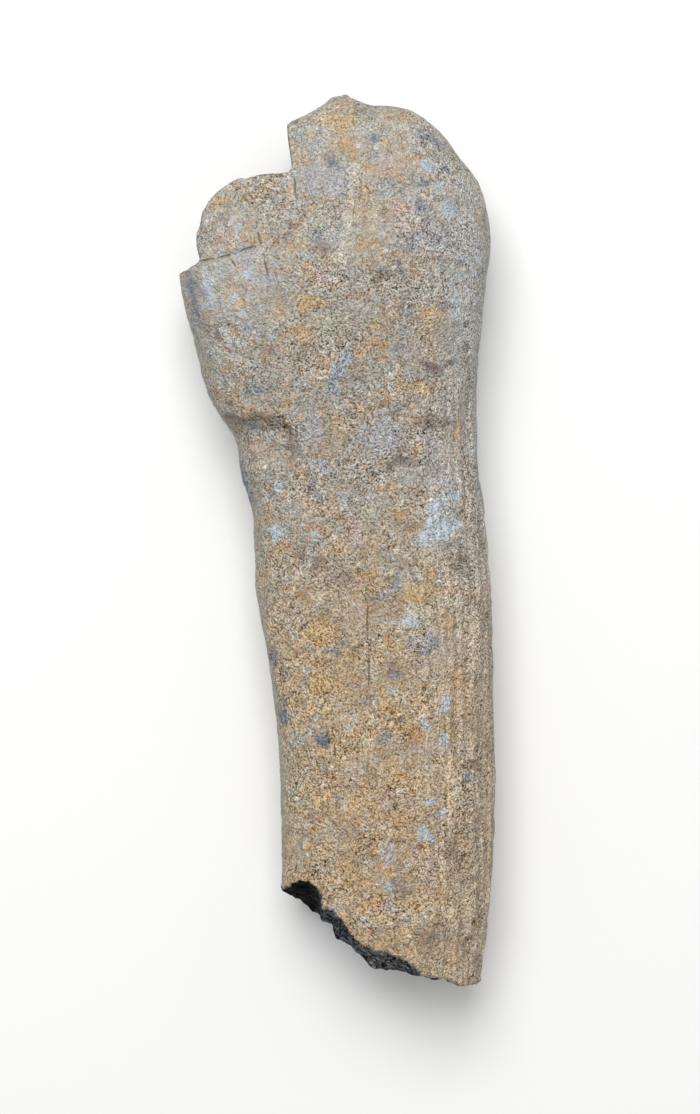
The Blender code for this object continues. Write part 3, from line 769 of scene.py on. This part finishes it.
# The winding gaps between grains come in three widths. The two finer ones also show in the relief.
GAP_SIZES = (1.7, 1.0, 3.0)

# How far the tones of the snapped end stray to the left and right
DRIFT, DRIFT_SIZE = 16, 7


class Place(NamedTuple):
    """What every pattern starts from: the place on the bone in mm."""

    mm: bpy.types.NodeSocket
    turned: bpy.types.NodeSocket
    jittered: bpy.types.NodeSocket
    x: bpy.types.NodeSocket
    y: bpy.types.NodeSocket


def place_on_bone(tree):
    """The place in mm: plain, turned, jittered, and across and along the bone."""
    metres = add(tree, "TexCoord").node.outputs["Object"]
    mm = add(tree, "VectorMath", {"operation": "SCALE", "Scale": 1 / MM}, {FIRST: metres})
    turned = add(tree, "Mapping", {"Rotation": PATTERN_TILT}, {"Vector": mm})
    jitter = add(tree, "TexNoise", {"Scale": 1 / JITTER_SIZE, "Detail": 2}, {"Vector": turned}).node
    reach = {"operation": "MULTIPLY_ADD", SECOND: (JITTER, JITTER, JITTER)}
    jittered = add(tree, "VectorMath", reach, {FIRST: jitter.outputs["Color"], THIRD: turned})
    across, along, _ = add(tree, "SeparateXYZ", {}, {"Vector": mm}).node.outputs
    return Place(mm, turned, jittered, across, along)


def warmth(tree, place):
    """How warm the ground colour is, which grows towards the snapped end, and how pale, towards the head."""
    # The bounds sway by up to 25 mm, over stretches of about 22 mm
    sway = add(tree, "TexNoise", {"Scale": 0.045, "Detail": 2}, {"Vector": place.mm})
    along = add(tree, "Math", {"operation": "MULTIPLY_ADD", SECOND: 50}, {FIRST: sway, THIRD: place.y})
    warm = add(tree, "MapRange", {FROM: 45, FULL: -25}, {VALUE: along})
    pale = add(tree, "MapRange", {FROM: 90, FULL: 150}, {VALUE: along})
    return warm, pale


def ground(tree, warm, pale):
    """Ground colour: grey at the head, tan at the snapped end."""
    hues = {"data_type": "RGBA", UNDER: linear("#a29f96"), OVER: linear("#b49d7c")}
    colour = add(tree, "Mix", hues, {SHARE: warm})
    return add(tree, "Mix", {"data_type": "RGBA", OVER: linear("#aaaaa2")}, {SHARE: pale, UNDER: colour})


def mottled(tree, place, colour):
    """Mottling all over: iron-stained patches, grey patches and pale ones, 3 to 9 mm across."""
    for hue, size, detail, shift, low, high, strength in (
        ("#bb9a68", 9, 5, 0, 0.48, 0.70, 0.7),
        ("#96928e", 8, 5, 40, 0.50, 0.72, 0.75),
        ("#b18a66", 5, 4, 80, 0.52, 0.70, 0.65),
        ("#c8bca6", 3.4, 4, 120, 0.54, 0.70, 0.65),
        ("#877a6d", 3.6, 4, 160, 0.56, 0.74, 0.6),
        ("#abb0b4", 3.0, 3, 200, 0.58, 0.70, 0.6),
    ):
        moved = add(tree, "Mapping", {"Location": (shift, 0, 0)}, {"Vector": place.mm})
        cloud = {"Scale": 1 / size, "Detail": detail, "Roughness": 0.6}
        cloud = add(tree, "TexNoise", cloud, {"Vector": moved})
        share = add(tree, "MapRange", {FROM: low, FULL: high, HIGH: strength}, {VALUE: cloud})
        colour = add(tree, "Mix", {"data_type": "RGBA", OVER: linear(hue)}, {SHARE: share, UNDER: colour})
    return colour


def stony(tree, place, colour):
    """Single coarse grains and small clusters of another stone: chalky, dark, rusty and bluish ones."""
    for size, hues in ((2.4, ("#cdc2ad", "#7d6f60", "#bf8f57")), (1.4, ("#d2c9ba", "#6f6355", "#a0a3a6"))):
        stones = add(tree, "TexVoronoi", {"Scale": 1 / size}, {"Vector": place.jittered}).node
        kinds = add(tree, "SeparateColor", {}, {"Color": stones.outputs["Color"]}).node.outputs
        for hue, kind in zip(hues, kinds):
            share = add(tree, "MapRange", {FROM: 0.80, FULL: 0.98, HIGH: 0.30}, {VALUE: kind})
            colour = add(tree, "Mix", {"data_type": "RGBA", OVER: linear(hue)}, {SHARE: share, UNDER: colour})
    return colour


def painted_side_shade(tree, place, colour):
    """Painted shade: faces turned away from the top are greyer, in patches."""
    side = add(tree, "Attribute", {"attribute_name": "side"}).node.outputs["Fac"]
    side_shade_patches = add(tree, "TexNoise", {"Scale": 1 / 14, "Detail": 5, "Roughness": 0.6}, {"Vector": place.turned})
    side_shade_patches = add(tree, "MapRange", {FROM: 0.40, FULL: 0.60, LOW: 0.3, HIGH: 0.75}, {VALUE: side_shade_patches})
    share = add(tree, "Math", {"operation": "MULTIPLY"}, {FIRST: side, SECOND: side_shade_patches})
    return add(tree, "Mix", {"data_type": "RGBA", OVER: linear("#a0a59f")}, {SHARE: share, UNDER: colour})


def paler_right_edge(tree, place, colour, warm):
    """The right edge, paler: grey along the head, tan along the shaft."""
    share = add(tree, "MapRange", {FROM: 18, FULL: 42, HIGH: 0.45}, {VALUE: place.x})
    hues = {"data_type": "RGBA", UNDER: linear("#bab8b3"), OVER: linear("#bfb19e")}
    hue = add(tree, "Mix", hues, {SHARE: warm})
    return add(tree, "Mix", {"data_type": "RGBA"}, {SHARE: share, UNDER: colour, OVER: hue})


def chipped(tree, place, colour):
    """Chips and pores: small pale flecks and small dark holes, each kind a few to the square centimetre."""
    for hue, spacing, reach, strength in (
        ("#d3cec0", 6.5, 0.14, 0.6),
        ("#4a3f36", 7.5, 0.085, 0.7),
        ("#c2c9cd", 9, 0.12, 0.65),
    ):
        spots = add(tree, "TexVoronoi", {"Scale": 1 / spacing}, {"Vector": place.jittered}).node
        edge = {FROM: reach, FULL: reach * 0.6, HIGH: strength}
        share = add(tree, "MapRange", edge, {VALUE: spots.outputs["Distance"]})
        colour = add(tree, "Mix", {"data_type": "RGBA", OVER: linear(hue)}, {SHARE: share, UNDER: colour})
    return colour


def stains_and_painted_shade(tree, colour, speckle):
    """Stains that are placed, and a few marks of painted shade, with edges broken up by the grains."""
    channels = add(tree, "SeparateColor", {}, {"Color": speckle.outputs["Color"]}).node.outputs
    for i, (tone, hue) in enumerate(TONES.items()):
        strength = add(tree, "Attribute", {"attribute_name": tone}).node.outputs["Fac"]
        grainy = {"operation": "MULTIPLY_ADD", SECOND: 1.9}
        ragged = add(tree, "Math", grainy, {FIRST: channels[i % 3], THIRD: strength})
        most = PALE_BLUE_SHARE if tone == "pale_blue" else STAIN_AND_SHADE_SHARE
        share = add(tree, "MapRange", {FROM: 1.14, FULL: 1.54, HIGH: most}, {VALUE: ragged})
        colour = add(tree, "Mix", {"data_type": "RGBA", OVER: linear(hue)}, {SHARE: share, UNDER: colour})
    return colour


def browner_walls(tree, colour, speckle):
    """Broken walls of the head, browner and darker."""
    wall = add(tree, "Attribute", {"attribute_name": "head_wall"}).node.outputs["Fac"]
    brown = {FROM: 0.35, FULL: 0.65, LOW: 0.85, HIGH: 0.35}
    brown = add(tree, "MapRange", brown, {VALUE: speckle.outputs["Fac"]})
    share = add(tree, "Math", {"operation": "MULTIPLY"}, {FIRST: brown, SECOND: wall})
    return add(tree, "Mix", {"data_type": "RGBA", OVER: linear("#6f6358")}, {SHARE: share, UNDER: colour})


def winding_gaps(tree, place):
    """Winding gaps between the grains: thin lines where a pattern crosses its own middle."""
    gaps = []
    for size in GAP_SIZES:
        winding = {"Scale": 1 / size, "Detail": 1, "Roughness": 0.5}
        winding = add(tree, "TexNoise", winding, {"Vector": place.turned})
        winding = add(tree, "Math", {"operation": "SUBTRACT", SECOND: 0.5}, {FIRST: winding})
        gaps.append(add(tree, "Math", {"operation": "ABSOLUTE"}, {FIRST: winding}))
    return gaps


def grain_light(tree, place, gaps, fine):
    """How much lighter or darker each grain is, with painted shade in the gaps between the grains and in the
    hollows, and painted light on raised tops.
    """
    cells = add(tree, "TexVoronoi", {"Scale": 1 / 1.5}, {"Vector": place.jittered}).node.outputs["Color"]
    grain = add(tree, "SeparateColor", {}, {"Color": cells})
    grit = add(tree, "TexNoise", {"Scale": 1 / 1.1, "Detail": 2, "Roughness": 0.6}, {"Vector": place.turned})
    hollow = add(tree, "Attribute", {"attribute_name": "hollow"}).node.outputs["Fac"]
    light, *others = [
        add(tree, "MapRange", {FROM: low, FULL: high, LOW: -darker, HIGH: lighter}, {VALUE: source})
        for source, low, high, darker, lighter in (
            (grain, 0, 1, 0.05, 0.05),
            # painted shade: the gaps between the grains are darker
            (gaps[0], 0, 0.09, 0.38, 0.20),
            (gaps[1], 0, 0.10, 0.27, 0.16),
            (gaps[2], 0, 0.05, 0.22, 0.05),
            (fine, 0.37, 0.63, 0.35, 0.35),
            (grit, 0.37, 0.63, 0.10, 0.08),
            # painted shade in the hollows and painted light on raised tops
            (hollow, -0.7, 0.4, 0.15, 0.12),
        )
    ]
    for other in others:
        light = add(tree, "Math", {"operation": "ADD"}, {FIRST: light, SECOND: other})
    return light


def grain_vigour(tree, place):
    """How strongly the grains show: it varies over the bone, and is less where the crust is worn, on the pale
    blue stains and on the sides greyed by painted shade.
    """
    region = add(tree, "TexNoise", {"Scale": 1 / 13, "Detail": 2}, {"Vector": place.mm})
    vigour = add(tree, "MapRange", {FROM: 0.35, FULL: 0.65, LOW: 0.68, HIGH: 1.25}, {VALUE: region})
    for smoother, drop in (("worn", 0.58), ("pale_blue", 0.4), ("side", 0.3)):
        calm = add(tree, "Attribute", {"attribute_name": smoother}).node.outputs["Fac"]
        calm = add(tree, "MapRange", {LOW: 1, HIGH: 1 - drop}, {VALUE: calm})
        vigour = add(tree, "Math", {"operation": "MULTIPLY"}, {FIRST: vigour, SECOND: calm})
    return vigour


def grainy(tree, place, colour, gaps, fine):
    """The crust's grains in light and dark, with the painted shade of the gaps and hollows. Where it darkens,
    the colour goes browner than the stone.
    """
    light = grain_light(tree, place, gaps, fine)
    light = add(tree, "Math", {"operation": "MULTIPLY"}, {FIRST: light, SECOND: grain_vigour(tree, place)})
    rubbed = add(tree, "Attribute", {"attribute_name": "worn"}).node.outputs["Fac"]
    light = add(tree, "Math", {"operation": "MULTIPLY_ADD", SECOND: 0.1}, {FIRST: rubbed, THIRD: light})
    tint = add(tree, "CombineXYZ", {}, {"X": light, "Y": light, "Z": light})
    browner = {"operation": "MULTIPLY_ADD", SECOND: (0.92, 1, 1.12), THIRD: (1.02, 1.02, 1.02)}
    tint = add(tree, "VectorMath", browner, {FIRST: tint})
    return add(tree, "VectorMath", {"operation": "MULTIPLY"}, {FIRST: colour, SECOND: tint})


def streaked(tree, place, colour):
    """Lengthwise streaks where the fibres of the bone show, along the right of the shaft."""
    stretched = add(tree, "Mapping", {"Scale": (1 / 1.7, 1 / 22, 1 / 1.7)}, {"Vector": place.mm})
    streaks = add(tree, "TexNoise", {"Scale": 1, "Detail": 2}, {"Vector": stretched})
    streaks = add(tree, "MapRange", {FROM: 0.35, FULL: 0.65, LOW: -0.2, HIGH: 0.2}, {VALUE: streaks})
    right = add(tree, "MapRange", {FROM: 16, FULL: 36}, {VALUE: place.x})
    shaft = add(tree, "MapRange", {FROM: 62, FULL: 50}, {VALUE: place.y})
    fibrous = add(tree, "Math", {"operation": "MULTIPLY"}, {FIRST: right, SECOND: shaft})
    streaks = add(tree, "Math", {"operation": "MULTIPLY_ADD", THIRD: 1}, {FIRST: streaks, SECOND: fibrous})
    return add(tree, "VectorMath", {"operation": "SCALE"}, {FIRST: colour, "Scale": streaks})


def crack_share(tree, place):
    """How much of a hairline crack each place is. The lines waver a little."""
    stray = add(tree, "TexNoise", {"Scale": 1 / 3, "Detail": 2}, {"Vector": place.mm}).node.outputs["Color"]
    stray_by = {"operation": "MULTIPLY_ADD", SECOND: (CRACK_STRAY, CRACK_STRAY, 0)}
    bent = add(tree, "VectorMath", stray_by, {FIRST: stray, THIRD: place.mm})
    lines = []
    for crack in CRACKS:
        spindle = {
            "vector_type": "TEXTURE",
            "Location": (crack.x + CRACK_STRAY / 2, crack.y + CRACK_STRAY / 2, crack.z),
            "Rotation": (0, 0, np.radians(crack.turn)),
            "Scale": (crack.half_length * CRACK_TAPER, CRACK_HALF_WIDTH, CRACK_REACH),
        }
        spindle = add(tree, "Mapping", spindle, {"Vector": bent})
        lines.append(add(tree, "TexGradient", {"gradient_type": "SPHERICAL"}, {"Vector": spindle}))
    cracks, *others = lines
    for other in others:
        cracks = add(tree, "Math", {"operation": "MAXIMUM"}, {FIRST: cracks, SECOND: other})
    return add(tree, "MapRange", {FROM: 0.1, FULL: 0.7, HIGH: 0.6}, {VALUE: cracks})


def snapped_stone_with_painted_light(tree, place):
    """Manganese-dark stone, partly painted: black in the hollow at its left, which is partly painted shade,
    then slate grey with painted highlights, then brown, with pale specks that are painted glints.
    """
    crumbs = {"Scale": 1 / 2.2, "Detail": 6, "Roughness": 0.75}
    crumbs = add(tree, "TexNoise", crumbs, {"Vector": place.turned})
    dark = add(tree, "MapRange", {FROM: 0.42, FULL: 0.62}, {VALUE: crumbs})
    # near black, partly the dark stone and partly painted shade of the deep broken end
    blacks = {"data_type": "RGBA", UNDER: linear("#060606"), OVER: linear("#17181c")}
    dark = add(tree, "Mix", blacks, {SHARE: dark})
    drift = add(tree, "TexNoise", {"Scale": 1 / DRIFT_SIZE, "Detail": 3}, {"Vector": place.turned})
    drift = add(tree, "Math", {"operation": "MULTIPLY_ADD", SECOND: DRIFT}, {FIRST: drift, THIRD: place.x})
    for hue, size, low, high, x_from, x_full, strength in (
        ("#4b535f", 1.7, 0.47, 0.60, -9, -4, 0.7),
        # painted highlights: lighter slate flecks
        ("#78828e", 2.6, 0.50, 0.59, -8, -3, 0.62),
        ("#78644f", 2.0, 0.52, 0.60, 4, 12, 0.6),
        # painted glints: pale specks
        ("#bdb8b0", 1.1, 0.57, 0.65, -8, 6, 0.8),
    ):
        specks = {"Scale": 1 / size, "Detail": 3, "Roughness": 0.65}
        specks = add(tree, "TexNoise", specks, {"Vector": place.turned})
        specks = add(tree, "MapRange", {FROM: low, FULL: high, HIGH: strength}, {VALUE: specks})
        reach = add(tree, "MapRange", {FROM: x_from + DRIFT / 2, FULL: x_full + DRIFT / 2}, {VALUE: drift})
        share = add(tree, "Math", {"operation": "MULTIPLY"}, {FIRST: specks, SECOND: reach})
        dark = add(tree, "Mix", {"data_type": "RGBA", OVER: linear(hue)}, {SHARE: share, UNDER: dark})
    return dark


def fine_relief(tree, gaps, fine, cracks):
    """The relief that the mesh is too coarse for: the grains, the gaps between them and the cracks."""
    relief = add(tree, "Math", {"operation": "MULTIPLY_ADD", SECOND: 3}, {FIRST: gaps[0], THIRD: fine})
    relief = add(tree, "Math", {"operation": "MULTIPLY_ADD", SECOND: 2.5}, {FIRST: gaps[1], THIRD: relief})
    relief = add(tree, "Math", {"operation": "MULTIPLY_ADD", SECOND: -1.5}, {FIRST: cracks, THIRD: relief})
    return add(tree, "Bump", {"Strength": 1, "Distance": 0.45 * MM}, {"Height": relief})


def weathered_fossil_bone():
    """Fossil bone: bone turned to stone, with a dull granular crust, iron stains and a dark snapped end.

    The real grains are 0.3 to 1 mm. The finest are drawn at 0.6 mm, the least that the picture can show.
    """
    material = bpy.data.materials.new("weathered_fossil_bone")
    material.use_nodes = True
    tree = material.node_tree
    tree.nodes.clear()
    place = place_on_bone(tree)
    warm, pale = warmth(tree, place)
    speckle = {"Scale": 1 / 3, "Detail": 5, "Roughness": 0.72}
    speckle = add(tree, "TexNoise", speckle, {"Vector": place.turned}).node
    gaps = winding_gaps(tree, place)
    fine = add(tree, "TexNoise", {"Scale": 1 / 0.6, "Detail": 1, "Roughness": 0.6}, {"Vector": place.turned})
    cracks = crack_share(tree, place)
    end = add(tree, "Attribute", {"attribute_name": "snapped_end"}).node.outputs["Fac"]

    colour = ground(tree, warm, pale)
    colour = mottled(tree, place, colour)
    colour = stony(tree, place, colour)
    colour = painted_side_shade(tree, place, colour)
    colour = paler_right_edge(tree, place, colour, warm)
    colour = chipped(tree, place, colour)
    colour = stains_and_painted_shade(tree, colour, speckle)
    colour = browner_walls(tree, colour, speckle)
    colour = grainy(tree, place, colour, gaps, fine)
    colour = streaked(tree, place, colour)
    colour = add(tree, "Mix", {"data_type": "RGBA", OVER: linear("#4c433a")}, {SHARE: cracks, UNDER: colour})
    snapped_colour = snapped_stone_with_painted_light(tree, place)
    colour = add(tree, "Mix", {"data_type": "RGBA"}, {SHARE: end, UNDER: colour, OVER: snapped_colour})

    # The crust is matte, and the snapped end is smoother but too dark to shine
    roughness = add(tree, "MapRange", {LOW: 0.92, HIGH: 0.7}, {VALUE: end})
    shine = add(tree, "MapRange", {LOW: 0.35, HIGH: 0.04}, {VALUE: end})
    bump = fine_relief(tree, gaps, fine, cracks)
    shader = add(
        tree,
        "BsdfPrincipled",
        {"Metallic": 0, "IOR": 1.5},
        {"Base Color": colour, "Roughness": roughness, "Specular IOR Level": shine, "Normal": bump},
    )
    add(tree, "OutputMaterial", {}, {"Surface": shader})
    return material


def pale_paper():
    """Matte white background paper."""
    material = bpy.data.materials.new("pale_paper")
    material.use_nodes = True
    shader = material.node_tree.nodes["Principled BSDF"]
    shader.inputs["Base Color"].default_value = linear("#f7f7f6")
    shader.inputs["Roughness"].default_value = 0.9
    shader.inputs["Specular IOR Level"].default_value = 0.1
    return material


def make_floor(size):
    """The paper that the bone lies on, of this half width in metres."""
    mesh = bmesh.new()
    bmesh.ops.create_grid(mesh, x_segments=1, y_segments=1, size=size)
    data = bpy.data.meshes.new("floor")
    mesh.to_mesh(data)
    mesh.free()
    data.materials.append(pale_paper())
    floor = bpy.data.objects.new("floor", data)
    bpy.context.scene.collection.objects.link(floor)


def soft_light(name, place, size, energy):
    """A large square lamp that faces the bone."""
    data = bpy.data.lights.new(name, "AREA")
    data.shape = "SQUARE"
    data.size = size
    data.energy = energy
    lamp = bpy.data.objects.new(name, data)
    lamp.location = place
    lamp.rotation_euler = (-Vector(place)).to_track_quat("-Z", "Y").to_euler()
    bpy.context.scene.collection.objects.link(lamp)


def white_surroundings(strength):
    """Even white light from all sides."""
    world = bpy.data.worlds.new("studio")
    world.use_nodes = True
    background = world.node_tree.nodes["Background"]
    background.inputs["Color"].default_value = (1, 1, 1, 1)
    background.inputs["Strength"].default_value = strength
    bpy.context.scene.world = world


def make_camera(place, lens):
    """The camera, which looks straight down on the bone."""
    data = bpy.data.cameras.new("camera")
    data.lens = lens
    data.sensor_width = 36
    camera = bpy.data.objects.new("camera", data)
    camera.location = place
    bpy.context.scene.collection.objects.link(camera)
    bpy.context.scene.camera = camera


make_camera(place=(0.00404, -0.00589, 0.9095), lens=85)
piece = make_bone()
piece.data.materials.append(weathered_fossil_bone())
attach(piece, "root")
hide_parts("limb_bone")

make_floor(size=4)
soft_light("key", place=(-0.2, 0.85, 1.6), size=1.1, energy=25)
soft_light("overhead", place=(0, 0, 2), size=1.6, energy=6)
white_surroundings(strength=0.38)
bpy.context.scene.view_settings.view_transform = "Standard"
